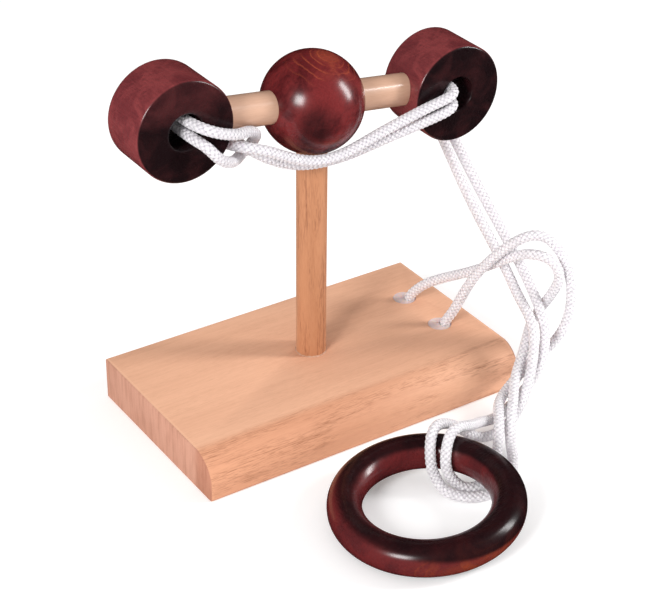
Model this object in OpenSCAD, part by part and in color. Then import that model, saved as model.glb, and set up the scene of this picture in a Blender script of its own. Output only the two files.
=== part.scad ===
// Rope puzzle: a wooden stand with a ball and two eyelets, one rope and a loose ring.
// Millimetres. X runs along the board to the right, Y away from the viewer, Z up.
// The origin is the middle of the board's underside, which stands on the table.

/* [Board] */
// Length of the board along X
board_length = 120; // [100:1:140]
// Depth of the board along Y
board_depth = 70; // [60:1:85]
// Thickness of the board
board_height = 15; // [12:0.5:20]
// Radius of the rounded front top edge
board_front_round = 10; // [4:0.5:12]
// Radius of all the other eased edges
board_edge_round = 1.2; // [0.6:0.2:4]
// Diameter of the two holes that hold the rope's ends
rope_hole_d = 8; // [7:0.5:9]
// Depth of the post's hole in the board
post_hole_depth = 10; // [8:0.5:12]

/* [Post and ball] */
// Diameter of the upright dowel
post_d = 10; // [9:0.5:12]
// Diameter of the ball on the post
ball_d = 33; // [28:1:36]
// Height of the ball's centre above the table
ball_height = 106; // [95:1:115]
// Depth of the post's hole in the ball
ball_hole_depth = 8; // [6:0.5:9]

/* [Crossbar and eyelets] */
// Diameter of the cross dowel
crossbar_d = 10.5; // [9:0.5:11]
// Lean of the crossbar in degrees, its right end low
crossbar_tilt = 7; // [0:0.5:9]
// Distance from the ball's centre to each eyelet's axis
eyelet_reach = 50; // [45:1:60]
// Outer diameter of each eyelet
eyelet_d = 32.5; // [28:0.5:36]
// Length of each eyelet along its bore
eyelet_length = 19; // [16:1:22]
// Bore that the doubled rope runs through
eyelet_bore_d = 11.5; // [10.5:0.5:13]
// Chamfer on the eyelets' edges
eyelet_chamfer = 1; // [0.5:0.25:2]
// Depth of the crossbar's hole in each eyelet
eyelet_hole_depth = 8; // [6:0.5:8.5]
// Gap all round a glued dowel
glue_gap = 0.1; // [0.05:0.05:0.2]

/* [Ring] */
// Diameter of the ring measured to the middle of its wall
ring_mean_d = 50; // [46:1:54]
// Radial width of the ring's wall
ring_width = 10.8; // [9:0.2:12]
// Height of the ring's wall
ring_height = 11; // [9:0.5:12]
// Corner radius of the ring's wall
ring_corner = 4.2; // [2:0.2:5]
// Lean of the ring in degrees, raised on the side that lies on the rope
ring_tilt = 4.8; // [3:0.1:6]

/* [Rope] */
// Diameter of the braided rope
rope_d = 3.6; // [3:0.1:4]
// Length of the straight stretch at each glued rope end
rope_end_run = 3; // [2.5:0.1:4]
// Height of the knots' tops inside the board's holes
knot_top = 13.2; // [12:0.1:14]
// Height of a knot drawn up in its hole
knot_height = 9.2; // [8:0.1:10]
// Distance of the strands' centres from the middle of the four-strand twist
twist_radius = 3.4; // [3.2:0.05:4]
// Turn of the four-strand twist from its top to its foot, in degrees
twist_turn = 225; // [200:5:250]

/* [Hidden] */
$fn = 96;
post_place = [1, 3, 0];
rear_hole = [46.6, 13.2];
front_hole = [46.9, -7.2];
front_end = [48.2, -8.3];
rear_end = [47.5, 11.7];
ball_centre = [post_place[0], post_place[1], ball_height];
post_top = ball_height - ball_d / 2 + ball_hole_depth;
eyelet_r = eyelet_d / 2;
bore_r = eyelet_bore_d / 2;
bore_chamfer = 0.6;
crossbar_length = 2 * (eyelet_reach - eyelet_r + eyelet_hole_depth);
beyond = 1;

ring_r = ring_mean_d / 2;
ring_corner_x = ring_width / 2 - ring_corner;
ring_corner_y = ring_height / 2 - ring_corner;
ring_lift = (ring_r + ring_corner_x) * sin(ring_tilt) + ring_corner_y * cos(ring_tilt) + ring_corner;
ring_centre = [-9.8, -78.5, ring_lift];

rope_r = rope_d / 2;
rope_sides = 8;
rope_step = 4.5;
floor_z = rope_r + 0.1;
knot_r = 3.6;
knot_turn_r = 1.5;
knot_bulge = 0.3;
knot_turns = 3;

board_colour = [0.88, 0.68, 0.55];
bar_colour = [0.88, 0.72, 0.58];
stain_colour = [0.42, 0.15, 0.15];
ring_colour = [0.25, 0.10, 0.11];
rope_colour = [0.93, 0.90, 0.93];

// Board: planed beech block
module eased_rectangle(length, width, radius) {
    translate([-length / 2 + radius, -width / 2])
        square([length - 2 * radius, width]);
    translate([-length / 2, -width / 2 + radius])
        square([length, width - 2 * radius]);
    for (x = [-1, 1], y = [-1, 1])
        translate([x * (length / 2 - radius), y * (width / 2 - radius)])
            circle(r = radius);
}

// Section across the board, front edge to the left
module board_section() {
    difference() {
        translate([0, board_height / 2])
            eased_rectangle(board_depth, board_height, board_edge_round);
        translate([-board_depth / 2 - beyond, board_height - board_front_round])
            square([board_front_round + beyond, board_front_round + beyond]);
    }
    intersection() {
        translate([-board_depth / 2 + board_front_round, board_height - board_front_round])
            circle(r = board_front_round);
        translate([-board_depth / 2, board_height - board_front_round])
            square(board_front_round);
    }
}

module base_board() {
    color(board_colour)
    difference() {
        intersection() {
            rotate([90, 0, 90])
                linear_extrude(board_length + 2 * beyond, center = true)
                    board_section();
            linear_extrude(board_height)
                eased_rectangle(board_length, board_depth, board_edge_round);
            translate([0, 0, board_height / 2])
                rotate([90, 0, 0])
                    linear_extrude(board_depth + 2 * beyond, center = true)
                        eased_rectangle(board_length, board_height, board_edge_round / 2);
        }
        translate([post_place[0], post_place[1], board_height - post_hole_depth])
            cylinder(d = post_d + 2 * glue_gap, h = post_hole_depth + beyond);
        for (hole = [rear_hole, front_hole])
            translate([hole[0], hole[1], -beyond])
                cylinder(d = rope_hole_d, h = board_height + 2 * beyond);
    }
}

// Post: upright dowel glued into the board and the ball
module post() {
    color(bar_colour)
    translate([post_place[0], post_place[1], board_height - post_hole_depth])
        cylinder(d = post_d, h = post_top - board_height + post_hole_depth);
}

// Ball: turned ball with a blind hole for the post and a through hole for the crossbar
module ball() {
    color(stain_colour)
    difference() {
        translate(ball_centre)
            sphere(d = ball_d);
        translate([post_place[0], post_place[1], ball_height - ball_d / 2 - beyond])
            cylinder(d = post_d + 2 * glue_gap, h = ball_hole_depth + beyond);
        translate(ball_centre)
            rotate([0, 90 + crossbar_tilt, 0])
                cylinder(d = crossbar_d + 2 * glue_gap, h = ball_d + 2 * beyond, center = true);
    }
}

// Crossbar: one dowel right through the ball, glued into both eyelets
module crossbar() {
    color(bar_colour)
    translate(ball_centre)
        rotate([0, 90 + crossbar_tilt, 0])
            cylinder(d = crossbar_d, h = crossbar_length, center = true);
}

// Eyelet: short stained cylinder with a bore along Y and the crossbar's hole in its side
module eyelet_body() {
    half = eyelet_length / 2;
    rotate([90, 0, 0])
        rotate_extrude()
            polygon([
                [bore_r + bore_chamfer, -half],
                [eyelet_r - eyelet_chamfer, -half],
                [eyelet_r, -half + eyelet_chamfer],
                [eyelet_r, half - eyelet_chamfer],
                [eyelet_r - eyelet_chamfer, half],
                [bore_r + bore_chamfer, half],
                [bore_r, half - bore_chamfer],
                [bore_r, -half + bore_chamfer]
            ]);
}

// side is -1 for the left eyelet and 1 for the right one
module eyelet(side) {
    color(stain_colour)
    translate(ball_centre)
        rotate([0, crossbar_tilt, 0])
            translate([side * eyelet_reach, 0, 0])
                difference() {
                    eyelet_body();
                    translate([-side * (eyelet_r - eyelet_hole_depth), 0, 0])
                        rotate([0, -side * 90, 0])
                            cylinder(d = crossbar_d + 2 * glue_gap, h = eyelet_hole_depth + beyond);
                }
}

// Ring: loose stained ring, one side on the table and the other on the rope
module ring_section() {
    for (x = [-1, 1], y = [-1, 1])
        translate([ring_r + x * ring_corner_x, y * ring_corner_y])
            circle(r = ring_corner);
    translate([ring_r - ring_width / 2, -ring_corner_y])
        square([ring_width, 2 * ring_corner_y]);
    translate([ring_r - ring_corner_x, -ring_height / 2])
        square([2 * ring_corner_x, ring_height]);
}

module ring() {
    color(ring_colour)
    translate(ring_centre)
        rotate([0, -ring_tilt, 0])
            rotate_extrude()
                ring_section();
}

// Knot: the rope's end tied, drawn up into the hole and glued, as three turns round a core
module knot(place) {
    turn_pitch = knot_height / knot_turns;
    color(rope_colour)
    translate([place[0], place[1], knot_top - knot_height])
        rotate_extrude() {
            square([knot_r, knot_height]);
            for (i = [0 : knot_turns - 1])
                translate([knot_r + knot_bulge - knot_turn_r, (i + 0.5) * turn_pitch])
                    circle(r = knot_turn_r);
        }
}

// Smooth curve through a list of pull points: a uniform cubic B-spline
function pull(points, i) =
    i < 0 ? 2 * points[0] - points[1] :
    i >= len(points) ? 2 * points[len(points) - 1] - points[len(points) - 2] :
    points[i];
function spline(points, i, t) =
    (pow(1 - t, 3) * pull(points, i - 1)
     + (3 * pow(t, 3) - 6 * t * t + 4) * pull(points, i)
     + (-3 * pow(t, 3) + 3 * t * t + 3 * t + 1) * pull(points, i + 1)
     + pow(t, 3) * pull(points, i + 2)) / 6;
function unit(v) = v / norm(v);

// Middle line of the four-strand twist, from its top down to its foot on the table
twist_line = [
    [65, -33.5, 31], [63.5, -38.5, 24.5], [61.5, -41, 18.5],
    [58.5, -42.5, 13.5], [54, -44, 9.7], [48.8, -46.7, 7],
    [44.5, -49.3, 5.9], [40, -52.3, 5.3], [35.5, -55.5, 5.1]
];
twist_start = 40;
function twist_point(strand, s) =
    let (spans = len(twist_line) - 1)
    let (i = min(floor(s * spans), spans - 1))
    let (t = s * spans - i)
    let (along = unit(spline(twist_line, i, min(t + 0.05, 1)) - spline(twist_line, i, max(t - 0.05, 0))))
    let (side = unit(cross(along, [0, 0, 1])))
    let (front = cross(side, along))
    let (a = twist_start + 90 * strand + twist_turn * s)
    spline(twist_line, i, t) + twist_radius * (cos(a) * side + sin(a) * front);
function twist_run(strand, from, to, steps) =
    [for (i = [0 : steps]) twist_point(strand, from + (to - from) * i / steps)];

// Point round the ring's wall: angle along the ring, angle round the wall, distance from its middle
function round_ring(along, round, reach) =
    let (r = ring_r + reach * cos(round))
    let (flat = [r * cos(along), r * sin(along), reach * sin(round)])
    ring_centre + [
        flat[0] * cos(ring_tilt) - flat[2] * sin(ring_tilt),
        flat[1],
        flat[0] * sin(ring_tilt) + flat[2] * cos(ring_tilt)
    ];

// Rope's route from the knot in the front hole to the knot in the rear hole
outer_arc = [
    [front_end[0], front_end[1], knot_top],
    [front_end[0], front_end[1], knot_top + rope_end_run],
    [50, -9.9, 19.3], [51.6, -12.6, 27], [53.5, -16, 36], [57.3, -22, 46],
    [62.5, -28.5, 54.5],
    [68.5, -32.5, 56], [73.5, -37, 49.5], [76.3, -39.7, 39], [76.5, -40.3, 28.5],
    [74.5, -39.5, 19.5], [69.5, -38.3, 14], [63.5, -38.3, 12.3]
];
under_ring_inner = [
    [33, -59.3, 7.9], [29, -63.7, 2.6], [25, -68.7, floor_z],
    [20.5, -72.8, floor_z], [15, -74.5, floor_z], [10.5, -74.2, floor_z],
    [7.8, -72.3, 2.5], [5.9, -70.2, 5.2]
];
over_ring_near = [
    round_ring(34, 180, 8.3), round_ring(35, 140, 8.8),
    round_ring(36, 98, 8.8), round_ring(33, 66, 9),
    [22.5, -58.5, 12], [28.5, -53.4, 8]
];
right_fall_up = [
    [68, -27.5, 35], [69, -19, 40.5], [68.4, -8.5, 49], [67, 3, 60], [65.6, 14, 72],
    [62.8, 22.5, 84], [58, 26.5, 94.5], [51.8, 22.5, 101.5]
];
right_bore_upper = [[48.8, 13, 102.1], [48.7, 3, 102.1], [48.9, -6.5, 102.4]];
band_upper = [
    [45.5, -10.8, 102.3], [38, -9.3, 100.2], [29, -9, 98], [18, -9.6, 96],
    [8, -10, 93.2], [0, -10.1, 92.1], [-8, -9.7, 92.9], [-16, -9, 96.5], [-24, -10, 101.5]
];
through_eye_upper = [
    [-31, -7, 103], [-33.5, 0.5, 102.2], [-33, 8, 101], [-33, 17.5, 102.5],
    [-39.5, 23, 108.5], [-46, 20.5, 112]
];
left_bore_upper = [[-46.9, 11, 114.2], [-46.9, 3, 114.3], [-47, -6, 114.4]];
closed_end = [
    [-44, -11.5, 113.6], [-38.5, -11, 110.8], [-32.5, -9.2, 108.4], [-27, -5, 106.6],
    [-22.8, -2.6, 104], [-21, 0.4, 100.6], [-23, 2, 97], [-27.5, 0, 95.9],
    [-32, -5.5, 97.8], [-38, -10.3, 101], [-42, -11.5, 104.8], [-44.5, -11.3, 108.5]
];
left_bore_lower = [[-47, -6, 109.9], [-46.9, 3, 110], [-46.9, 11, 109.8]];
through_eye_lower = [
    [-46, 20.5, 107.4], [-39, 22, 101.5], [-31, 18.5, 98], [-28.5, 8, 99.8], [-29.4, 0, 102.5]
];
band_lower = [
    [-25.5, -6, 99.2], [-17, -5.8, 93.5], [-8, -5.6, 89.9], [1, -5.8, 89], [10, -6.4, 89.6],
    [18, -7.2, 91.5], [29, -8, 93.4], [38, -9.3, 95.5], [45.5, -10.8, 97.7]
];
right_bore_lower = [[48.9, -6.5, 98], [48.7, 3, 97.8], [48.8, 13, 97.8]];
left_fall_down = [
    [51.5, 20, 95], [56.5, 20.5, 87], [60, 16, 77], [61.7, 8, 65], [63.3, -4, 51],
    [64.5, -15, 41], [64.7, -22, 34.5], [63.8, -28.5, 30]
];
over_ring_far = [
    [31.5, -56, 2.4], [25.5, -55.6, 4.4], [19.5, -53.3, 10.5],
    round_ring(46, 62, 9.2), round_ring(50, 98, 8.8),
    round_ring(50.5, 140, 8.8), round_ring(49.5, 180, 8.3)
];
under_ring_outer = [
    [1.9, -66.7, 5.8], [1.9, -70.8, 2.6], [4.5, -75.2, floor_z], [8.5, -78.4, floor_z],
    [13.5, -79.9, floor_z], [19, -79, floor_z], [24.8, -76.2, floor_z], [29.5, -71.8, floor_z],
    [32.8, -66.8, 2], [35.7, -61.7, 2.6]
];
inner_arc = [
    [61.5, -36.5, 20.5], [66.5, -31.8, 22.5], [71.3, -32.4, 28], [71.8, -37, 36],
    [71.3, -39.8, 43], [68.2, -37.5, 49.5], [63.5, -28.5, 48.5], [60, -19.5, 40.8],
    [57, -9, 33], [53.6, -0.5, 28], [50.3, 6.3, 23.2], [48.6, 9.8, 19],
    [rear_end[0], rear_end[1], knot_top + rope_end_run],
    [rear_end[0], rear_end[1], knot_top]
];
route = concat(
    outer_arc, twist_run(2, 0.48, 0.86, 5), under_ring_inner, over_ring_near,
    twist_run(1, 0.9, 0.1, 6), right_fall_up, right_bore_upper, band_upper, through_eye_upper,
    left_bore_upper, closed_end, left_bore_lower,
    through_eye_lower, band_lower, right_bore_lower, left_fall_down,
    twist_run(0, 0.1, 0.93, 6), over_ring_far, under_ring_outer,
    twist_run(3, 0.93, 0.3, 6), inner_arc
);

// Centres of the rope's rings, evenly spaced along the smooth curve
path = concat(
    [for (i = [0 : len(route) - 2])
        let (steps = max(1, round(norm(route[i + 1] - route[i]) / rope_step)))
        for (j = [0 : steps - 1])
            spline(route, i, j / steps)],
    [route[len(route) - 1]]
);
last = len(path) - 1;
heading = [
    unit(route[1] - route[0]),
    for (i = [1 : last - 1]) unit(path[i + 1] - path[i - 1]),
    unit(route[len(route) - 1] - route[len(route) - 2])
];

// The ring's first corner is carried along the rope without twisting
function carried(side, along) = unit(side - along * (side * along));
corner_way = [
    for (i = 0, side = [1, 0, 0]; i <= last;
         side = carried(side, heading[min(i + 1, last)]), i = i + 1)
        side
];
rope_points = [
    for (i = [0 : last], k = [0 : rope_sides - 1])
        let (a = 360 * k / rope_sides)
        path[i] + rope_r * (cos(a) * corner_way[i] + sin(a) * cross(heading[i], corner_way[i]))
];
rope_faces = concat(
    [[for (k = [0 : rope_sides - 1]) k]],
    [[for (k = [rope_sides - 1 : -1 : 0]) last * rope_sides + k]],
    [for (i = [0 : last - 1], k = [0 : rope_sides - 1])
        let (next = (k + 1) % rope_sides)
        [i * rope_sides + k, (i + 1) * rope_sides + k, (i + 1) * rope_sides + next]],
    [for (i = [0 : last - 1], k = [0 : rope_sides - 1])
        let (next = (k + 1) % rope_sides)
        [i * rope_sides + k, (i + 1) * rope_sides + next, i * rope_sides + next]]
);

module rope() {
    color(rope_colour)
    polyhedron(points = rope_points, faces = rope_faces);
}

// Measures of the finished rope: its length and the least gap between two of its stretches
function segment_distance(p, a, b) =
    let (t = max(0, min(1, (p - a) * (b - a) / ((b - a) * (b - a)))))
    norm(p - a - t * (b - a));
function total(list, i = 0, sum = 0) = i == len(list) ? sum : total(list, i + 1, sum + list[i]);
steps_apart = 4;
union() {
    echo(rope_length = total([for (i = [0 : last - 1]) norm(path[i + 1] - path[i])]));
    echo(rope_rings = last + 1);
    echo(least_self_gap = min([
        for (i = [0 : last], j = [0 : last - 1])
            if (abs(i - j) > steps_apart && abs(i - j - 1) > steps_apart)
                segment_distance(path[i], path[j], path[j + 1])
    ]) - rope_d);
}

base_board();
post();
ball();
crossbar();
eyelet(-1);  // left_eyelet
eyelet(1);  // right_eyelet
ring();
rope();
knot(front_hole);  // front_knot
knot(rear_hole);  // rear_knot
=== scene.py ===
"""Rope puzzle: a wooden stand with a ball and two eyelets, one braided rope and a loose ring."""
import math
import random

import bmesh
import bpy
from mathutils import Matrix, Vector


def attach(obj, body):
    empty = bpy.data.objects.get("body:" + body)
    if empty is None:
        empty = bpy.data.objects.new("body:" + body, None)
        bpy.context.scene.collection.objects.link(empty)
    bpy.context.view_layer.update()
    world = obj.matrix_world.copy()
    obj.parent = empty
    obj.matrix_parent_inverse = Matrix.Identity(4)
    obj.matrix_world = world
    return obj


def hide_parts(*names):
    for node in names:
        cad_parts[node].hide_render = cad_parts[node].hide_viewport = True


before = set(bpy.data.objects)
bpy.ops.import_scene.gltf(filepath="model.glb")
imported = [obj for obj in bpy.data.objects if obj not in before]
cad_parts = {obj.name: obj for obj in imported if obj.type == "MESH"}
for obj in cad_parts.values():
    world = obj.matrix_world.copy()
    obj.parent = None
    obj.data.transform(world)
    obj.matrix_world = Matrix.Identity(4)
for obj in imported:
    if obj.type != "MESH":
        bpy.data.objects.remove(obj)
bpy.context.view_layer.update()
collection = bpy.context.scene.collection

# Camera
# The photograph looks down on the board from its front left, from a little over half a metre,
# through a long lens held level to half a degree.
camera_place = (-0.27985, -0.43051, 0.34836)
camera_azimuth = math.radians(-33.37)
camera_elevation = math.radians(31.39)
camera_roll = math.radians(0.48)
lens = bpy.data.cameras.new("camera")
lens.sensor_width = 36
lens.lens = 102.15
camera = bpy.data.objects.new("camera", lens)
camera.matrix_world = (
    Matrix.Translation(camera_place)
    @ Matrix.Rotation(camera_azimuth, 4, "Z")
    @ Matrix.Rotation(math.pi / 2 - camera_elevation, 4, "X")
    @ Matrix.Rotation(camera_roll, 4, "Z")
)
collection.objects.link(camera)
bpy.context.scene.camera = camera

# Rope
# One limp white cord, braided from ten plump yarns, five turning each way. Both ends go down into
# the board. Its doubled middle runs round the ring, through the right eyelet, across the ball's lower
# front, through its own closed end, round behind the left eyelet and forward through that one's bore.
rope_d = 0.0036
floor_z = 0.0019
ring_centre = Vector((-0.0098, -0.0785, 0.00769))
ring_tilt = math.radians(4.8)
ring_mean_r = 0.025
twist_start = 40
twist_turn = 225
twist_radius = 0.0034
twist_line = [
    (0.065, -0.0335, 0.031), (0.0635, -0.0385, 0.0245), (0.0615, -0.041, 0.0185),
    (0.0585, -0.0425, 0.0135), (0.054, -0.044, 0.0097), (0.0488, -0.0467, 0.007),
    (0.0445, -0.0493, 0.0059), (0.04, -0.0523, 0.0053), (0.0355, -0.0555, 0.0051),
]


def pull(points, i):
    """The curve's i-th pull point, with one more mirrored past each end."""
    if i < 0:
        return 2 * points[0] - points[1]
    if i >= len(points):
        return 2 * points[-1] - points[-2]
    return points[i]


def spline(points, i, t):
    """A point of the smooth curve, a uniform cubic B-spline, that starts and ends on its end points."""
    return (
        (1 - t) ** 3 * pull(points, i - 1)
        + (3 * t ** 3 - 6 * t ** 2 + 4) * pull(points, i)
        + (-3 * t ** 3 + 3 * t ** 2 + 3 * t + 1) * pull(points, i + 1)
        + t ** 3 * pull(points, i + 2)
    ) / 6


def twist_point(strand, s):
    """Where one of the four strands of the twist is, s from 0 at its top to 1 at its foot. twist_start
    and twist_turn are in degrees."""
    line = [Vector(p) for p in twist_line]
    spans = len(line) - 1
    i = min(int(s * spans), spans - 1)
    t = s * spans - i
    along = (spline(line, i, min(t + 0.05, 1)) - spline(line, i, max(t - 0.05, 0))).normalized()
    side = along.cross(Vector((0, 0, 1))).normalized()
    front = side.cross(along)
    a = math.radians(twist_start + 90 * strand + twist_turn * s)
    return spline(line, i, t) + twist_radius * (math.cos(a) * side + math.sin(a) * front)


def twist_run(strand, start, end, steps):
    """The points of one strand along the twist, down it or up it."""
    return [twist_point(strand, start + (end - start) * i / steps) for i in range(steps + 1)]


def round_ring(along, around, reach):
    """A point near the ring: degrees along the ring, degrees around its wall, and how far it is from the
    wall's middle."""
    along, around = math.radians(along), math.radians(around)
    r = ring_mean_r + reach * math.cos(around)
    flat = Vector((r * math.cos(along), r * math.sin(along), reach * math.sin(around)))
    return ring_centre + Matrix.Rotation(-ring_tilt, 3, "Y") @ flat


outer_arc = [
    (0.0482, -0.0083, 0.0132), (0.0482, -0.0083, 0.0162), (0.05, -0.0099, 0.0193),
    (0.0516, -0.0126, 0.027), (0.0535, -0.016, 0.036), (0.0573, -0.022, 0.046),
    (0.0625, -0.0285, 0.0545), (0.0685, -0.0325, 0.056), (0.0735, -0.037, 0.0495),
    (0.0763, -0.0397, 0.039), (0.0765, -0.0403, 0.0285), (0.0745, -0.0395, 0.0195),
    (0.0695, -0.0383, 0.014), (0.0635, -0.0383, 0.0123),
]
under_ring_inner = [
    (0.033, -0.0593, 0.0079), (0.029, -0.0637, 0.0026), (0.025, -0.0687, floor_z),
    (0.0205, -0.0728, floor_z), (0.015, -0.0745, floor_z), (0.0105, -0.0742, floor_z),
    (0.0078, -0.0723, 0.0025), (0.0059, -0.0702, 0.0052),
]
over_ring_near = [
    round_ring(34, 180, 0.0083), round_ring(35, 140, 0.0088), round_ring(36, 98, 0.0088),
    round_ring(33, 66, 0.009), (0.0225, -0.0585, 0.012), (0.0285, -0.0534, 0.008),
]
right_fall_up = [
    (0.068, -0.0275, 0.035), (0.069, -0.019, 0.0405), (0.0684, -0.0085, 0.049),
    (0.067, 0.003, 0.06), (0.0656, 0.014, 0.072), (0.0628, 0.0225, 0.084), (0.058, 0.0265, 0.0945),
    (0.0518, 0.0225, 0.1015),
]
right_bore_upper = [
    (0.0488, 0.013, 0.1021), (0.0487, 0.003, 0.1021), (0.0489, -0.0065, 0.1024),
]
band_upper = [
    (0.0455, -0.0108, 0.1023), (0.038, -0.0093, 0.1002), (0.029, -0.009, 0.098),
    (0.018, -0.0096, 0.096), (0.008, -0.01, 0.0932), (0, -0.0101, 0.0921),
    (-0.008, -0.0097, 0.0929), (-0.016, -0.009, 0.0965), (-0.024, -0.01, 0.1015),
]
through_eye_upper = [
    (-0.031, -0.007, 0.103), (-0.0335, 0.0005, 0.1022), (-0.033, 0.008, 0.101),
    (-0.033, 0.0175, 0.1025), (-0.0395, 0.023, 0.1085), (-0.046, 0.0205, 0.112),
]
left_bore_upper = [
    (-0.0469, 0.011, 0.1142), (-0.0469, 0.003, 0.1143), (-0.047, -0.006, 0.1144),
]
closed_end = [
    (-0.044, -0.0115, 0.1136), (-0.0385, -0.011, 0.1108), (-0.0325, -0.0092, 0.1084),
    (-0.027, -0.005, 0.1066), (-0.0228, -0.0026, 0.104), (-0.021, 0.0004, 0.1006),
    (-0.023, 0.002, 0.097), (-0.0275, 0, 0.0959), (-0.032, -0.0055, 0.0978),
    (-0.038, -0.0103, 0.101), (-0.042, -0.0115, 0.1048), (-0.0445, -0.0113, 0.1085),
]
left_bore_lower = [
    (-0.047, -0.006, 0.1099), (-0.0469, 0.003, 0.11), (-0.0469, 0.011, 0.1098),
]
through_eye_lower = [
    (-0.046, 0.0205, 0.1074), (-0.039, 0.022, 0.1015), (-0.031, 0.0185, 0.098),
    (-0.0285, 0.008, 0.0998), (-0.0294, 0, 0.1025),
]
band_lower = [
    (-0.0255, -0.006, 0.0992), (-0.017, -0.0058, 0.0935), (-0.008, -0.0056, 0.0899),
    (0.001, -0.0058, 0.089), (0.01, -0.0064, 0.0896), (0.018, -0.0072, 0.0915),
    (0.029, -0.008, 0.0934), (0.038, -0.0093, 0.0955), (0.0455, -0.0108, 0.0977),
]
right_bore_lower = [
    (0.0489, -0.0065, 0.098), (0.0487, 0.003, 0.0978), (0.0488, 0.013, 0.0978),
]
left_fall_down = [
    (0.0515, 0.02, 0.095), (0.0565, 0.0205, 0.087), (0.06, 0.016, 0.077), (0.0617, 0.008, 0.065),
    (0.0633, -0.004, 0.051), (0.0645, -0.015, 0.041), (0.0647, -0.022, 0.0345),
    (0.0638, -0.0285, 0.03),
]
over_ring_far = [
    (0.0315, -0.056, 0.0024), (0.0255, -0.0556, 0.0044), (0.0195, -0.0533, 0.0105),
    round_ring(46, 62, 0.0092), round_ring(50, 98, 0.0088), round_ring(50.5, 140, 0.0088),
    round_ring(49.5, 180, 0.0083),
]
under_ring_outer = [
    (0.0019, -0.0667, 0.0058), (0.0019, -0.0708, 0.0026), (0.0045, -0.0752, floor_z),
    (0.0085, -0.0784, floor_z), (0.0135, -0.0799, floor_z), (0.019, -0.079, floor_z),
    (0.0248, -0.0762, floor_z), (0.0295, -0.0718, floor_z), (0.0328, -0.0668, 0.002),
    (0.0357, -0.0617, 0.0026),
]
inner_arc = [
    (0.0615, -0.0365, 0.0205), (0.0665, -0.0318, 0.0225), (0.0713, -0.0324, 0.028),
    (0.0718, -0.037, 0.036), (0.0713, -0.0398, 0.043), (0.0682, -0.0375, 0.0495),
    (0.0635, -0.0285, 0.0485), (0.06, -0.0195, 0.0408), (0.057, -0.009, 0.033),
    (0.0536, -0.0005, 0.028), (0.0503, 0.0063, 0.0232), (0.0486, 0.0098, 0.019),
    (0.0475, 0.0117, 0.0162), (0.0475, 0.0117, 0.0132),
]
route = [
    Vector(p)
    for p in [
        *outer_arc, *twist_run(2, 0.48, 0.86, 5), *under_ring_inner, *over_ring_near,
        *twist_run(1, 0.9, 0.1, 6), *right_fall_up, *right_bore_upper, *band_upper, *through_eye_upper,
        *left_bore_upper, *closed_end, *left_bore_lower, *through_eye_lower, *band_lower,
        *right_bore_lower, *left_fall_down, *twist_run(0, 0.1, 0.93, 6), *over_ring_far,
        *under_ring_outer, *twist_run(3, 0.93, 0.3, 6), *inner_arc,
    ]
]


class Wire:
    """A socket of a node tree. Arithmetic on it adds Math nodes, and node() adds any other node."""

    def __init__(self, tree, socket=None):
        self.tree = tree
        self.socket = socket

    def node(self, kind, settings=None, sockets=None, out=0):
        """A new node with its settings, its capture items and the values or links on its sockets."""
        made = self.tree.nodes.new(kind)
        for name, value in (settings or {}).items():
            if name == "items":
                for item_kind, item_name in value:
                    made.capture_items.new(item_kind, item_name)
            else:
                setattr(made, name, value)
        for name, value in (sockets or {}).items():
            self.put(made.inputs[name], value)
        return Wire(self.tree, made.outputs[out])

    def put(self, socket, value):
        """Links a wire to a socket, or sets a plain value on it."""
        if isinstance(value, Wire):
            self.tree.links.new(value.socket, socket)
        else:
            socket.default_value = value

    def also(self, out):
        """Another output of the same node."""
        return Wire(self.tree, self.socket.node.outputs[out])

    def math(self, operation, *values):
        return self.node("ShaderNodeMath", {"operation": operation}, dict(enumerate(values)))

    def vector(self, operation, *values):
        return self.node("ShaderNodeVectorMath", {"operation": operation}, dict(enumerate(values)))

    def __add__(self, other):
        return self.math("ADD", self, other)

    __radd__ = __add__

    def __sub__(self, other):
        return self.math("SUBTRACT", self, other)

    def __rsub__(self, other):
        return self.math("SUBTRACT", other, self)

    def __mul__(self, other):
        return self.math("MULTIPLY", self, other)

    __rmul__ = __mul__

    def __truediv__(self, other):
        return self.math("DIVIDE", self, other)

    def __pow__(self, other):
        return self.math("POWER", self, other)

    def __gt__(self, other):
        return self.math("GREATER_THAN", self, other)

    def wave(self):
        """Sine of half a turn: 0 at 0 and 1, 1 in the middle."""
        return self.math("SINE", self * math.pi)

    def fade(self, low, high):
        """0 below low and 1 above high, or the other way about, with a smooth step between."""
        return self.node(
            "ShaderNodeMapRange",
            {"interpolation_type": "SMOOTHSTEP"},
            {"Value": self, "From Min": low, "From Max": high},
        )

    def mix(self, a, b, blend="MIX"):
        """From colour a at 0 to colour b at 1, or to a times b with the blend MULTIPLY."""
        a, b = [(*c, 1) if isinstance(c, tuple) else c for c in (a, b)]
        return self.node(
            "ShaderNodeMix", {"data_type": "RGBA", "blend_type": blend}, {0: self, 6: a, 7: b}, 2
        )


def plait(right, left):
    """Height of a diamond braid, 0 to 1, where two yarns cross, from their places across each yarn."""
    across_right, across_left = right.math("FRACT", right), left.math("FRACT", left)
    under = right.math("FLOORED_MODULO", right.math("FLOOR", right) + left.math("FLOOR", left), 2)
    right_yarn = across_right.wave() ** 0.8 * (0.5 + 0.5 * across_left.wave())
    left_yarn = across_left.wave() ** 0.8 * (0.5 + 0.5 * across_right.wave())
    return (1 - under) * right_yarn + under * left_yarn


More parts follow.
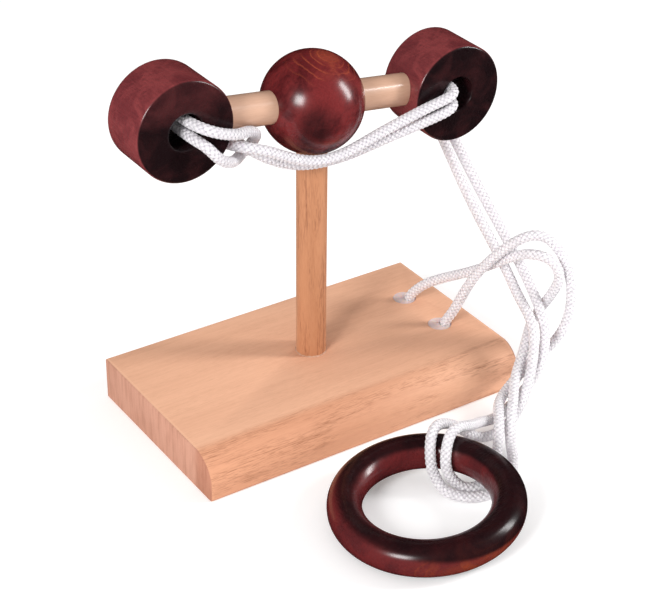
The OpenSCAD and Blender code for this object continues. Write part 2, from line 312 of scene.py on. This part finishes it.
def braid_tree():
    """Geometry nodes that turn a curve into a braided rope."""
    tree = bpy.data.node_groups.new("braided_rope", "GeometryNodeTree")
    for name, kind in (
        ("Geometry", "Geometry"), ("Diameter", "Float"), ("Sides", "Int"), ("Ring step", "Float"),
        ("Yarns each way", "Int"), ("Plait length", "Float"), ("Relief", "Float"), ("Finish", "Material"),
    ):
        tree.interface.new_socket(name, in_out="INPUT", socket_type="NodeSocket" + kind)
    tree.interface.new_socket("Geometry", in_out="OUTPUT", socket_type="NodeSocketGeometry")
    asked = tree.nodes.new("NodeGroupInput")
    given = tree.nodes.new("NodeGroupOutput")
    add = Wire(tree)
    size = {socket.name: Wire(tree, socket) for socket in asked.outputs}

    line = add.node(
        "GeometryNodeResampleCurve", {"mode": "LENGTH"},
        {"Curve": size["Geometry"], "Length": size["Ring step"]},
    )
    line = add.node(
        "GeometryNodeCaptureAttribute", {"items": [("FLOAT", "Along"), ("VECTOR", "Middle")]},
        {
            0: line,
            1: add.node("GeometryNodeSplineParameter", out="Length"),
            2: add.node("GeometryNodeInputPosition"),
        },
    )
    outline = add.node(
        "GeometryNodeCurvePrimitiveCircle",
        sockets={"Resolution": size["Sides"], "Radius": size["Diameter"] / 2},
    )
    outline = add.node(
        "GeometryNodeCaptureAttribute", {"items": [("FLOAT", "Turn")]},
        {0: outline, 1: add.node("GeometryNodeInputIndex") / size["Sides"]},
    )
    tube = add.node(
        "GeometryNodeCurveToMesh",
        sockets={"Curve": line, "Profile Curve": outline, "Fill Caps": True},
    )
    turn, along, middle = outline.also(1), line.also(1), line.also(2)
    right = turn * size["Yarns each way"] + along / size["Plait length"]
    left = turn * size["Yarns each way"] - along / size["Plait length"]
    height = plait(right, left)
    spoke = add.vector("SUBTRACT", add.node("GeometryNodeInputPosition"), middle)
    drawn_in = 1 - (1 - height) * size["Relief"] / size["Diameter"] * 2
    reach = add.node("ShaderNodeVectorMath", {"operation": "SCALE"}, {0: spoke, "Scale": drawn_in})
    tube = add.node(
        "GeometryNodeSetPosition", sockets={"Geometry": tube, "Position": add.vector("ADD", middle, reach)}
    )
    face_turn = add.node("GeometryNodeFieldOnDomain", {"domain": "FACE"}, {0: turn})
    seam_turn = turn + (face_turn - turn > 0.25)
    braid_map = add.node(
        "ShaderNodeCombineXYZ",
        sockets={0: seam_turn * size["Yarns each way"], 1: along / size["Plait length"]},
    )
    tube = add.node(
        "GeometryNodeStoreNamedAttribute", {"data_type": "FLOAT2", "domain": "CORNER"},
        {"Geometry": tube, "Name": "braid", "Value": braid_map},
    )
    tube = add.node("GeometryNodeSetShadeSmooth", sockets={0: tube})
    tube = add.node("GeometryNodeRealizeInstances", sockets={0: tube})
    tube = add.node("GeometryNodeSetMaterial", sockets={"Geometry": tube, "Material": size["Finish"]})
    add.put(given.inputs[0], tube)
    return tree


def plain_mesh(thing):
    """The finished mesh of an object with live modifiers, as a new object under the same name."""
    graph = bpy.context.evaluated_depsgraph_get()
    mesh = bpy.data.meshes.new_from_object(thing.evaluated_get(graph), depsgraph=graph)
    name = thing.name
    bpy.data.objects.remove(thing)
    piece = bpy.data.objects.new(name, mesh)
    mesh.name = name
    collection.objects.link(piece)
    return piece


def braided(name, points, diameter, finish, closed=False):
    """A braided rope along pull points."""
    curve = bpy.data.curves.new(name, "CURVE")
    curve.dimensions = "3D"
    curve.twist_mode = "MINIMUM"
    curve.resolution_u = 12
    line = curve.splines.new("NURBS")
    pulled = points if closed else [pull(points, -1), *points, pull(points, len(points))]
    line.points.add(len(pulled) - 1)
    for point, place in zip(line.points, pulled):
        point.co = (*place, 1)
    line.order_u = 4
    line.use_cyclic_u = closed
    thing = bpy.data.objects.new(name, curve)
    collection.objects.link(thing)
    braid = thing.modifiers.new("braid", "NODES")
    braid.node_group = rope_braid
    asked = {
        "Diameter": diameter, "Sides": sides, "Ring step": ring_step, "Yarns each way": yarns_each_way,
        "Plait length": plait_length, "Relief": plait_relief, "Finish": finish,
    }
    for socket in rope_braid.interface.items_tree:
        if socket.name in asked:
            braid[socket.identifier] = asked[socket.name]
    return plain_mesh(thing)


def bare_finish(name, fixed):
    """A new material with its constant values on the shader's own sockets."""
    material = bpy.data.materials.new(name)
    material.use_nodes = True
    shader = material.node_tree.nodes["Principled BSDF"]
    for socket, value in fixed.items():
        shader.inputs[socket].default_value = value
    return material, Wire(material.node_tree), shader


def cord_white():
    """Shiny white yarn. Painted shade makes it lilac-grey in the braid's holes and darker down each yarn's
    flanks, and greys it up at the ball and eyelets."""
    material, add, shader = bare_finish("white_braid", {
        "Specular IOR Level": 0.8, "Sheen Weight": 0.1, "Sheen Roughness": 0.4,
        "Subsurface Weight": 0.8, "Subsurface Scale": 0.0018, "Subsurface Radius": (1.0, 0.97, 1.0),
    })
    shade_lilac, white = (0.46, 0.44, 0.48), (0.90, 0.87, 0.895)
    braid_map = add.node("ShaderNodeAttribute", {"attribute_name": "braid"}, out="Vector")
    parts = add.node("ShaderNodeSeparateXYZ", sockets={0: braid_map})
    place = add.node("ShaderNodeTexCoord", out="Object")
    soft = add.node("ShaderNodeTexNoise", sockets={"Vector": place, "Scale": 700, "Detail": 2})
    # Painted shade that greys the rope from 78 mm up, full at 92 mm, where it runs up at the ball and
    # eyelets.
    high_shade = add.node("ShaderNodeSeparateXYZ", sockets={0: place}).also(2).fade(shade_from_z, shade_full_z)
    right = parts + parts.also(1) + (soft - 0.5) * 0.5
    left = parts - parts.also(1) + (soft.also(1) - 0.5) * 0.5
    height = plait(right, left)
    right_cell, left_cell = add.math("FLOOR", right), add.math("FLOOR", left)
    under = add.math("FLOORED_MODULO", right_cell + left_cell, 2)
    across = (1 - under) * right + under * left
    filament = add.math("FRACT", across * filaments).wave()
    stitch = add.node("ShaderNodeTexWhiteNoise", {"noise_dimensions": "2D"}, {
        "Vector": add.node("ShaderNodeCombineXYZ", sockets={0: right_cell, 1: left_cell}),
    })
    hole = (1 - add.math("FRACT", right).wave()) * (1 - add.math("FRACT", left).wave())
    # Painted light and shade: each yarn is lighter on its crown and filament ridges and darker down its
    # flanks; stitch and soft add random tone.
    lit = (0.48 + 0.3 * height + 0.1 * filament + 0.3 * stitch) * (0.85 + 0.3 * soft)
    # Painted shade darkens the rope up at the ball and eyelets, and deepens the shade in its holes there.
    lit = lit * (1 - 0.3 * high_shade)
    # Painted shade in the braid's holes.
    hole_shade = hole.fade(0.05, 0.7) * (0.1 + 0.55 * stitch) * (1 + 0.7 * high_shade)
    # The lilac is the colour of the painted shade.
    add.put(shader.inputs["Base Color"], ((1 - hole_shade) * lit).mix(shade_lilac, white))
    add.put(shader.inputs["Roughness"], 0.5 - 0.25 * stitch)
    add.put(shader.inputs["Normal"], add.node("ShaderNodeBump", sockets={
        "Strength": 0.9, "Distance": 0.0004, "Height": height + filament * 0.1 + soft * 0.5 + stitch * 0.3,
    }))
    return material


plait_length = 0.0016
plait_relief = 0.00028
yarns_each_way = 5
filaments = 5
sides = 30
ring_step = plait_length / 4
path_every = 4
# Heights where the rope's painted shade up at the ball and eyelets begins and becomes full.
shade_from_z = 0.078
shade_full_z = 0.092
rope_braid = braid_tree()
rope_finish = cord_white()
rope = braided("braided_rope", route, rope_d, rope_finish)
ring_count = len(rope.data.vertices) // sides
rope_path = [
    sum((v.co for v in rope.data.vertices[i * sides : (i + 1) * sides]), Vector()) / sides
    for i in [*range(0, ring_count - path_every, path_every), ring_count - 1]
]
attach(rope, "stand")
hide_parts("rope")

# Knots
# Each rope end is tied in a plain overhand knot, drawn up hard into its hole from below and glued.
# The knots lie out of sight in the board, and can be seen only from beneath.
knot_rope_d = 0.0026
knot_top = 0.0132
knot_foot = 0.004
knot_reach = 0.00087
front_hole = (0.0469, -0.0072)
rear_hole = (0.0466, 0.0132)


def knot(name, hole, node):
    """A tight trefoil of the same cord, filling the hole from knot_foot to knot_top."""
    middle = Vector((*hole, (knot_top + knot_foot) / 2))
    swing = (knot_top - knot_foot - knot_rope_d) / 2
    steps = 36
    points = []
    for i in range(steps):
        a = 2 * math.pi * i / steps
        points.append(middle + Vector((
            knot_reach * (math.sin(a) + 2 * math.sin(2 * a)),
            knot_reach * (math.cos(a) - 2 * math.cos(2 * a)),
            swing * math.sin(3 * a),
        )))
    piece = braided(name, points, knot_rope_d, rope_finish, closed=True)
    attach(piece, "stand")
    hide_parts(node)
    return piece


front_knot = knot("front_knot_braid", front_hole, "front_knot")
rear_knot = knot("rear_knot_braid", rear_hole, "rear_knot")

# Glue in the holes
# Milky hot glue fills each hole round the rope to just under the board's top. It climbs a little at
# the rope and at the hole's wall, and dips between them.
hole_r = 0.00395
glue_low = 0.01325
glue_level = 0.0146
glue_rise = 0.0003
glue_steps = 64
glue_section = [
    (0, glue_low), (1, glue_low), (1, glue_level + glue_rise), (0.85, glue_level + glue_rise / 4),
    (0.5, glue_level), (0.15, glue_level + glue_rise / 3), (0, glue_level + 2 * glue_rise),
]


def set_glue():
    """Hot glue gone milky, with a soft shine."""
    material, add, shader = bare_finish("milky_glue", {
        "Subsurface Weight": 0.3, "Subsurface Scale": 0.002, "Coat Weight": 0.3, "Coat Roughness": 0.3,
    })
    cloud = add.node("ShaderNodeTexNoise", sockets={
        "Vector": add.node("ShaderNodeTexCoord", out="Object"), "Scale": 500.0, "Detail": 3.0,
    })
    add.put(shader.inputs["Base Color"], cloud.mix((0.60, 0.44, 0.42), (0.72, 0.56, 0.54)))
    add.put(shader.inputs["Roughness"], 0.4 + 0.2 * cloud)
    add.put(shader.inputs["Normal"], add.node("ShaderNodeBump", sockets={
        "Strength": 0.3, "Distance": 0.0002, "Height": cloud,
    }))
    return material


def as_object(name, mesh):
    """A new object that takes over a finished bmesh."""
    data = bpy.data.meshes.new(name)
    mesh.to_mesh(data)
    mesh.free()
    piece = bpy.data.objects.new(name, data)
    collection.objects.link(piece)
    return piece


def smooth_by_angle(piece, degrees):
    """Smooth shading, apart from the edges that turn by more than this."""
    piece.data.shade_smooth()
    piece.data.set_sharp_from_angle(angle=math.radians(degrees))


def hole_glue(name, hole, rope_at, finish):
    """A ring of glue whose inside fits the rope's end and whose outside fits the hole. In glue_section
    the first number is the place between the rope, 0, and the hole's wall, 1."""
    mesh = bmesh.new()
    loops = []
    for t, height in glue_section:
        radius = rope_d / 2 * (1 - t) + hole_r * t
        middle = Vector(rope_at[:2]) * (1 - t) + Vector(hole) * t
        loops.append([
            mesh.verts.new((
                middle.x + radius * math.cos(2 * math.pi * i / glue_steps),
                middle.y + radius * math.sin(2 * math.pi * i / glue_steps), height,
            ))
            for i in range(glue_steps)
        ])
    for here, there in zip(loops, loops[1:] + loops[:1]):
        for i in range(glue_steps):
            j = (i + 1) % glue_steps
            mesh.faces.new([here[i], here[j], there[j], there[i]])
    bmesh.ops.recalc_face_normals(mesh, faces=mesh.faces)
    piece = as_object(name, mesh)
    smooth_by_angle(piece, 50)
    piece.data.materials.append(finish)
    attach(piece, "stand")


milky = set_glue()
hole_glue("front_hole_glue", front_hole, rope_path[0], milky)
hole_glue("rear_hole_glue", rear_hole, rope_path[-1], milky)

# Base board
# A planed block of straight-grained beech with its grain along the length, sanded but not varnished.
# The long front top edge has a broad rounding, and the ends show the growth rings as upright streaks.


def weld(node, name):
    """A copy of a CAD node with its loose triangles joined and its flat faces made whole."""
    mesh = bmesh.new()
    mesh.from_mesh(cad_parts[node].data)
    bmesh.ops.remove_doubles(mesh, verts=mesh.verts, dist=1e-6)
    bmesh.ops.dissolve_limit(
        mesh, angle_limit=math.radians(0.5), verts=mesh.verts, edges=mesh.edges
    )
    return as_object(name, mesh)


end_tint = (0.74, 0.68, 0.74)
beyond = 1.0
nowhere = (-beyond, (1, 1, 1))


def beech(
    name, pale, dark, streak, front=nowhere, fade_out=(beyond, 2 * beyond), end=beyond,
    middle=(0, 0, 0), turn=(0, 0, 0), gloss=0,
):
    """Beech, its grain along local X. Past local y = front[0] it is full of flecks and darkened by the
    colour front[1], which goes out along local x from the first to the second number of fade_out; on the
    board this is a warmer tone together with painted shade. Where local x reaches end on either side, it is
    end grain and pinker, and a pale line of painted highlight runs just short of it. What isn't asked for
    lies beyond the piece."""
    material, add, shader = bare_finish(name, {"Coat Roughness": 0.2, "Specular IOR Level": 0.2})
    place = add.node("ShaderNodeMapping", {"vector_type": "TEXTURE"}, {
        "Vector": add.node("ShaderNodeTexCoord", out="Object"), "Location": middle, "Rotation": turn,
    })
    parts = add.node("ShaderNodeSeparateXYZ", sockets={0: place})
    x, y = parts, parts.also(1)

    def fibres(length, width, depth, detail=3.0):
        """Noise drawn out along the grain; the numbers are the size of its marks."""
        long = add.node("ShaderNodeMapping", {"vector_type": "POINT"}, {
            "Vector": place, "Scale": (1 / length, 1 / width, 1 / depth),
        })
        return add.node("ShaderNodeTexNoise", sockets={
            "Vector": long, "Scale": 1.0, "Detail": detail, "Roughness": 0.6,
        })

    broad = fibres(0.07, 0.014, 0.03, 2.0)
    rings = fibres(0.05, 0.0013, 0.012, 3.0)
    lines = fibres(0.030, 0.00045, 0.003, 2.0)
    fine = fibres(0.003, 0.0003, 0.0006, 2.0)
    cluster = fibres(0.03, 0.004, 0.004, 1.0)
    pores = fibres(0.0035, 0.00022, 0.00026, 1.0)
    at_front = y.fade(front[0], front[0] - 0.004)
    beside_end = add.math("ABSOLUTE", x)
    at_end = beside_end.fade(end - 0.0006, end - 0.0002)
    # Painted highlight: a pale line along the eased edge, just short of the end grain.
    edge_highlight = beside_end.fade(end - 0.0014, end - 0.0007) * (1 - at_end)
    fleck = pores.fade(0.50, 0.64) * cluster.fade(0.3, 0.6) * (0.25 + 0.75 * at_front)
    growth = lines.fade(0.52, 0.66) * cluster.fade(0.4, 0.62) * at_front * (1 - at_end)
    # The painted edge highlight lightens the tone here.
    tone = rings.fade(0.35, 0.7) * (0.25 + 0.4 * at_end) + broad.fade(0.3, 0.75) * 0.4 - edge_highlight * 0.6
    body = (tone * 0.85 + fine.fade(0.35, 0.8) * 0.25).mix(pale, dark)
    # The front colour, a darkening past front[0]; on the board it is a warmer tone together with painted
    # shade.
    front_darkening = at_front * x.fade(fade_out[1], fade_out[0])
    body = front_darkening.mix(body, front[1], "MULTIPLY")
    body = at_end.mix(body, end_tint, "MULTIPLY")
    marks = (fleck * 0.42 + growth * 0.34) * (1 - 0.7 * at_end) + at_end * rings.fade(0.5, 0.66) * 0.14
    add.put(shader.inputs["Base Color"], marks.mix(body, streak))
    add.put(shader.inputs["Roughness"], 0.55 - 0.2 * gloss + fine * 0.12)
    add.put(shader.inputs["Coat Weight"], gloss * (0.7 + 0.3 * broad))
    height = rings * 0.4 + fine * 0.6 - fleck * 0.8
    add.put(shader.inputs["Normal"], add.node("ShaderNodeBump", sockets={
        "Strength": 0.35, "Distance": 0.0001, "Height": height,
    }))
    return material


board_end = 0.060
board_front = -0.024
# Where the painted shade on the board's front starts to go out towards the right end.
front_shade_full = -0.02
rim_ease = 0.00035
board = weld("base_board", "beech_board")
bevel = board.modifiers.new("eased hole rims", "BEVEL")
bevel.width = rim_ease
bevel.segments = 2
bevel.limit_method = "ANGLE"
bevel.angle_limit = math.radians(40)
board = plain_mesh(board)
smooth_by_angle(board, 35)
board.data.materials.clear()
# The board's front colour is a warmer tone together with painted shade on the front rounding, full at the
# left and going out towards the right end.
board.data.materials.append(beech(
    "board_beech", (0.78, 0.44, 0.285), (0.63, 0.33, 0.207), (0.30, 0.12, 0.06),
    front=(board_front, (0.82, 0.71, 0.65)), fade_out=(front_shade_full, board_end), end=board_end,
))
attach(board, "stand")
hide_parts("base_board")

# Post
# A 10 mm beech dowel with upright grain. It is glued into a hole in the board at its foot and into the
# ball at its top, and dark pore streaks run up it.
post_axis = (0.001, 0.003)
post_middle = (*post_axis, 0.05)
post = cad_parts["post"]
post.data.materials.clear()
post.data.materials.append(beech(
    "post_beech", (0.60, 0.32, 0.19), (0.46, 0.215, 0.115), (0.20, 0.065, 0.03),
    front=(0.003, (0.92, 0.80, 0.70)), middle=post_middle, turn=(0, math.pi / 2, 0), gloss=0.15,
))

# Crossbar
# A lacquered 10.5 mm dowel, paler than the post. It is glued right through the ball and into both
# eyelets, and leans with its right end low.
bar_tilt = math.radians(7)
ball_centre = Vector((*post_axis, 0.106))
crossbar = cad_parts["crossbar"]
crossbar.data.materials.clear()
crossbar.data.materials.append(beech(
    "crossbar_lacquered", (0.66, 0.41, 0.29), (0.55, 0.32, 0.215), (0.30, 0.15, 0.085),
    middle=tuple(ball_centre), turn=(0, bar_tilt, 0), gloss=1,
))

# Ball
# Turned from beech, stained mahogany and lacquered; the growth rings show as lighter arcs.
# A through hole takes the crossbar, and a blind hole from below takes the post.
ball_r = 0.0165
bar_hole_r = 0.00535
post_hole_r = 0.0051
post_top = 0.0975
past_ball = 0.02
growth_ring = 0.0021


def turned(name, profile, place, hollow=False, steps=144):
    """A lathe mesh: (radius, height) points turned round the local Z axis, closed at the axis or, where
    it is hollow, right round."""
    mesh = bmesh.new()
    angles = [2 * math.pi * i / steps for i in range(steps)]
    rings = [
        [
            mesh.verts.new((radius * math.cos(a), radius * math.sin(a), height))
            for a in (angles if radius > 0 else angles[:1])
        ]
        for radius, height in profile
    ]
    pairs = list(zip(rings, rings[1:])) + ([(rings[-1], rings[0])] if hollow else [])
    for low, high in pairs:
        for i in range(steps):
            j = (i + 1) % steps
            corners = [low[i % len(low)], low[j % len(low)], high[j % len(high)], high[i % len(high)]]
            mesh.faces.new(list(dict.fromkeys(corners)))
    bmesh.ops.recalc_face_normals(mesh, faces=mesh.faces)
    piece = as_object(name, mesh)
    piece.data.transform(place)
    return piece


def drilled(piece, radius, depth, place):
    """Bores a round hole from place, up its local Z axis, out of the piece."""
    drill = turned("drill", [(0, 0), (radius, 0), (radius, depth), (0, depth)], place, steps=96)
    cut = piece.modifiers.new("hole", "BOOLEAN")
    cut.operation = "DIFFERENCE"
    cut.solver = "EXACT"
    cut.object = drill
    piece = plain_mesh(piece)
    bpy.data.objects.remove(drill)
    return piece


def arc(middle, radius, start, end, steps):
    """Points of a round corner, angles in degrees."""
    angles = [math.radians(start + (end - start) * i / steps) for i in range(steps + 1)]
    return [(middle[0] + radius * math.cos(a), middle[1] + radius * math.sin(a)) for a in angles]


def stained(name, red, deep, glow, middle, turn, heart, soak_and_shade):
    """Mahogany stain under lacquer, grain along local X, growth rings round a line that passes through
    heart in local Y and Z. The last argument gives, from local x, y and z, how much more stain the wood
    drank and, in the eyelets' bores, how much painted shade there is; both take the colour to near black."""
    material, add, shader = bare_finish(name, {
        "Specular IOR Level": 0.03, "Coat IOR": 1.5, "Coat Roughness": 0.23,
    })
    place = add.node("ShaderNodeMapping", {"vector_type": "TEXTURE"}, {
        "Vector": add.node("ShaderNodeTexCoord", out="Object"), "Location": middle, "Rotation": turn,
    })
    parts = add.node("ShaderNodeSeparateXYZ", sockets={0: place})
    x, y, z = parts, parts.also(1), parts.also(2)
    blotch = add.node("ShaderNodeTexNoise", sockets={
        "Vector": place, "Scale": 95.0, "Detail": 4.0, "Roughness": 0.62, "Distortion": 0.6,
    })
    long = add.node("ShaderNodeMapping", {"vector_type": "POINT"}, {
        "Vector": place, "Scale": (140, 1500, 1500),
    })
    fibre = add.node("ShaderNodeTexNoise", sockets={"Vector": long, "Scale": 1.0, "Detail": 3.0})
    from_heart = ((y - heart[0]) ** 2 + (z - heart[1]) ** 2) ** 0.5
    cloud = add.node("ShaderNodeTexNoise", sockets={"Vector": place, "Scale": 60.0, "Detail": 1.0})
    rings = add.math("FRACT", from_heart / growth_ring + blotch * 1.3 + cloud)
    lit = rings.fade(0.72, 0.97) * from_heart.fade(0.014, 0.007) * cloud.fade(0.46, 0.60)
    patch = blotch.fade(0.54, 0.40) * 0.6 + from_heart.fade(0.0055, 0.0025) * 0.5
    patch = patch * from_heart.fade(0.011, 0.004)
    dark = soak_and_shade(x, y, z) * (0.78 + 0.4 * blotch)
    tone = (blotch.fade(0.40, 0.64) * 0.8 + fibre.fade(0.35, 0.75) * 0.2) * from_heart.fade(0.002, 0.013)
    body = (patch * 0.7 + lit * 0.6).mix(tone.mix(red, deep), glow)
    # Near black where the wood drank more stain, and on the eyelets' bore walls as painted shade.
    add.put(shader.inputs["Base Color"], dark.mix(body, (0.010, 0.0032, 0.0042)))
    add.put(shader.inputs["Roughness"], 0.45 + 0.15 * fibre)
    add.put(shader.inputs["Coat Weight"], (1 - 0.3 * blotch) * (1 - 0.4 * dark))
    peel = add.node("ShaderNodeTexNoise", sockets={"Vector": place, "Scale": 1000.0, "Detail": 3.0})
    add.put(shader.inputs["Normal"], add.node("ShaderNodeBump", sockets={
        "Strength": 0.9, "Distance": 0.0008, "Height": peel + fibre * 0.4,
    }))
    return material


def ball_soaked(x, y, z):
    """The ball drank more stain on its end grain, underneath, and in a tall patch on its front."""
    beside = (0.5 * (x + 0.001) ** 2 + (z + 0.0035) ** 2) ** 0.5
    return 0.4 * x.fade(-0.004, -0.015) + 0.75 * beside.fade(0.008, 0.002) * y.fade(0, -0.004)


flat_on_bar = math.degrees(math.asin(bar_hole_r / ball_r))
along_bar = Matrix.Translation(ball_centre) @ Matrix.Rotation(math.pi / 2 + bar_tilt, 4, "Y")
ball_profile = arc((0, 0), ball_r, 90 - flat_on_bar, flat_on_bar - 90, 96)
ball = turned("stained_ball", ball_profile, along_bar, hollow=True)
down_post = Matrix.Translation((*post_axis, post_top)) @ Matrix.Rotation(math.pi, 4, "X")
ball = drilled(ball, post_hole_r, past_ball, down_post)
smooth_by_angle(ball, 40)
ball.data.materials.clear()
ball.data.materials.append(stained(
    "ball_stain", (0.175, 0.019, 0.020), (0.062, 0.006, 0.008), (0.40, 0.080, 0.034), tuple(ball_centre),
    (0, -1.285, -0.71), (0, 0), ball_soaked,
))
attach(ball, "stand")
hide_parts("ball")

# Eyelets
# Two short cylinders turned from the same stained wood, bored through for the doubled rope, with eased
# rims that catch the light. Their end grain faces the front and back and is stained almost black, and
# painted shade darkens the walls of their bores to near black.
eyelet_r = 0.01625
eyelet_half = 0.0095
eyelet_bore_r = 0.00575
eyelet_reach = 0.050
eyelet_hole_from = 0.00825
past_eyelet = 0.012
rim = 0.001
bore_rim = 0.0006
heart_far = 0.1
heart_aside = 0.02
eyelet_profile = [
    *arc((eyelet_r - rim, eyelet_half - rim), rim, 90, 0, 6),
    *arc((eyelet_r - rim, rim - eyelet_half), rim, 0, -90, 6),
    *arc((eyelet_bore_r + bore_rim, bore_rim - eyelet_half), bore_rim, -90, -180, 4),
    *arc((eyelet_bore_r + bore_rim, eyelet_half - bore_rim), bore_rim, 180, 90, 4),
]


def eyelet(name, side, node, pale_top):
    """One eyelet on the crossbar's end; side is -1 for the left and 1 for the right. pale_top is how much
    lighter its flat ends are above the middle."""
    middle = ball_centre + side * eyelet_reach * Vector((math.cos(bar_tilt), 0, -math.sin(bar_tilt)))
    piece = turned(
        name, eyelet_profile, Matrix.Translation(middle) @ Matrix.Rotation(math.pi / 2, 4, "X"), hollow=True
    )
    inward = Matrix.Translation(middle) @ Matrix.Rotation(bar_tilt - side * math.pi / 2, 4, "Y")
    piece = drilled(piece, bar_hole_r, past_eyelet, inward @ Matrix.Translation((0, 0, eyelet_hole_from)))
    smooth_by_angle(piece, 40)

    def end_grain_and_bore_shade(x, y, z):
        """The two flat ends, stained almost black, and the wall of the bore, painted near black as shade.
        """
        off_axis = (y ** 2 + z ** 2) ** 0.5
        flat_end = x.math("ABSOLUTE", x).fade(eyelet_half - 0.0006, eyelet_half - 0.0001)
        flat_end = flat_end * (1 - pale_top * z.fade(0.0005, 0.012))
        # Painted shade: the bore's wall is darkened to near black.
        return x.math("MAXIMUM", flat_end, off_axis.fade(eyelet_bore_r + 0.001, eyelet_bore_r + 0.0005))

    piece.data.materials.clear()
    piece.data.materials.append(stained(
        name + "_stain", (0.240, 0.045, 0.047), (0.135, 0.023, 0.027), (0.34, 0.080, 0.068),
        tuple(middle), (0, 0, math.pi / 2), (heart_far, side * heart_aside), end_grain_and_bore_shade,
    ))
    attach(piece, "stand")
    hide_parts(node)
    return piece


eyelet("left_eyelet_turned", -1, "left_eyelet", 0.18)
eyelet("right_eyelet_turned", 1, "right_eyelet", 0)

# Ring
# A loose ring turned from a dark-stained board: near black on its flat side, redder on its walls.
# Its left side lies on the table, and the rope under its right side lifts that side.
ring_wide = 0.0108
ring_high = 0.011
ring_corner = 0.0052
ring_profile = [
    (ring_mean_r + r, z)
    for across, up, start in ((1, 1, 90), (1, -1, 0), (-1, -1, -90), (-1, 1, -180))
    for r, z in arc(
        (across * (ring_wide / 2 - ring_corner), up * (ring_high / 2 - ring_corner)),
        ring_corner, start, start - 90, 12,
    )
]
ring_place = Matrix.Translation(ring_centre) @ Matrix.Rotation(-ring_tilt, 4, "Y")
ring = turned("stained_ring", ring_profile, ring_place, hollow=True, steps=192)
smooth_by_angle(ring, 40)


def flat_sides(x, y, z):
    """The ring's top and underside and, at the front and right, its outer wall as well."""
    outward = (x ** 2 + y ** 2) ** 0.5 - ring_mean_r
    above = z + outward * (0.25 + 8 * (x - y)) + 0.05 * x - 0.01 * y
    return 0.93 * above.math("MAXIMUM", above.fade(0.0028, 0.0044), z.fade(-0.0042, -0.0052))


ring.data.materials.append(stained(
    "ring_stain", (0.130, 0.015, 0.016), (0.080, 0.012, 0.014), (0.24, 0.040, 0.014),
    tuple(ring_centre), (0, -ring_tilt, 0), (-0.030, -0.003), flat_sides,
))
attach(ring, "ring")
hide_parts("ring")

# Glue at the post's foot
# A thin uneven bead of wood glue that was squeezed out of the post's hole and left to dry.
bead_seed = 4
foot_place = Vector((*post_axis, 0.015))
dowel_r = 0.005
bead_wide = 0.0006
bead_high = 0.0005
bead_thinnest = 0.15
bead_steps = 120
draw = random.Random(bead_seed)
lumps = [draw.uniform(bead_thinnest, 1.0) for _ in range(bead_steps)]
mesh = bmesh.new()
bead_rings = []
for i in range(bead_steps):
    swell = (lumps[i - 1] + lumps[i] + lumps[(i + 1) % bead_steps]) / 3
    a = 2 * math.pi * i / bead_steps
    out = Vector((math.cos(a), math.sin(a), 0))
    width, height = bead_wide * swell, bead_high * swell
    corners = [(0.0, 0.0), (width, 0.0), (width * 0.6, height * 0.45), (0.0, height)]
    bead_rings.append([
        mesh.verts.new(foot_place + out * (dowel_r + r) + Vector((0, 0, z))) for r, z in corners
    ])
for i in range(bead_steps):
    here, there = bead_rings[i - 1], bead_rings[i]
    for k in range(len(here)):
        j = (k + 1) % len(here)
        mesh.faces.new([here[k], here[j], there[j], there[k]])
bmesh.ops.recalc_face_normals(mesh, faces=mesh.faces)
bead = as_object("post_glue", mesh)
smooth_by_angle(bead, 60)
glue, add, shader = bare_finish("dried_glue", {"Coat Weight": 0.25, "Coat Roughness": 0.3})
mottle = add.node("ShaderNodeTexNoise", sockets={
    "Vector": add.node("ShaderNodeTexCoord", out="Object"), "Scale": 900.0, "Detail": 2.0,
})
add.put(shader.inputs["Base Color"], mottle.mix((0.42, 0.22, 0.14), (0.58, 0.34, 0.23)))
add.put(shader.inputs["Roughness"], 0.25 + 0.2 * mottle)
bead.data.materials.append(glue)
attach(bead, "stand")

# Studio
# A white table under a bright tent, with one soft box at the camera's left and one at the right. White
# all round turns dark lacquer grey, so mirror reflections show the soft boxes alone.
floor_mesh = bpy.data.meshes.new("floor")
floor_size = 3.0
floor_drop = -0.0002
floor_mesh.from_pydata(
    [(x * floor_size, y * floor_size, floor_drop) for x, y in ((-1, -1), (1, -1), (1, 1), (-1, 1))],
    [], [(0, 1, 2, 3)],
)
floor = bpy.data.objects.new("floor", floor_mesh)
collection.objects.link(floor)
paper, _, _ = bare_finish("white_table", {
    "Base Color": (0.92, 0.92, 0.92, 1), "Roughness": 0.9, "Specular IOR Level": 0.1,
    "Emission Color": (1.0, 1.0, 1.0, 1), "Emission Strength": 0.2,
})
floor.data.materials.append(paper)
floor.visible_glossy = False

tent = bpy.data.worlds.new("tent")
bpy.context.scene.world = tent
tent.use_nodes = True
cloth = tent.node_tree.nodes["Background"]
cloth.inputs["Color"].default_value = (1.0, 0.985, 0.98, 1)
cloth.inputs["Strength"].default_value = 0.56
tent.cycles_visibility.glossy = False
bpy.context.scene.view_settings.view_transform = "Standard"

aim_at = Vector((0, 0, 0.08))
box_distance = 1.0
box_power = 7.4
for name, direction, wide, high in (
    ("left_box", (-0.795, -0.408, 0.447), 0.30, 0.30),
    ("right_box", (0.788, -0.490, 0.373), 0.18, 0.55),
):
    box = bpy.data.lights.new(name, "AREA")
    box.shape = "RECTANGLE"
    box.size = wide
    box.size_y = high
    box.energy = box_power
    way = Vector(direction).normalized()
    soft_box = bpy.data.objects.new(name, box)
    soft_box.location = aim_at + way * box_distance
    soft_box.rotation_euler = way.to_track_quat("Z", "Y").to_euler()
    collection.objects.link(soft_box)
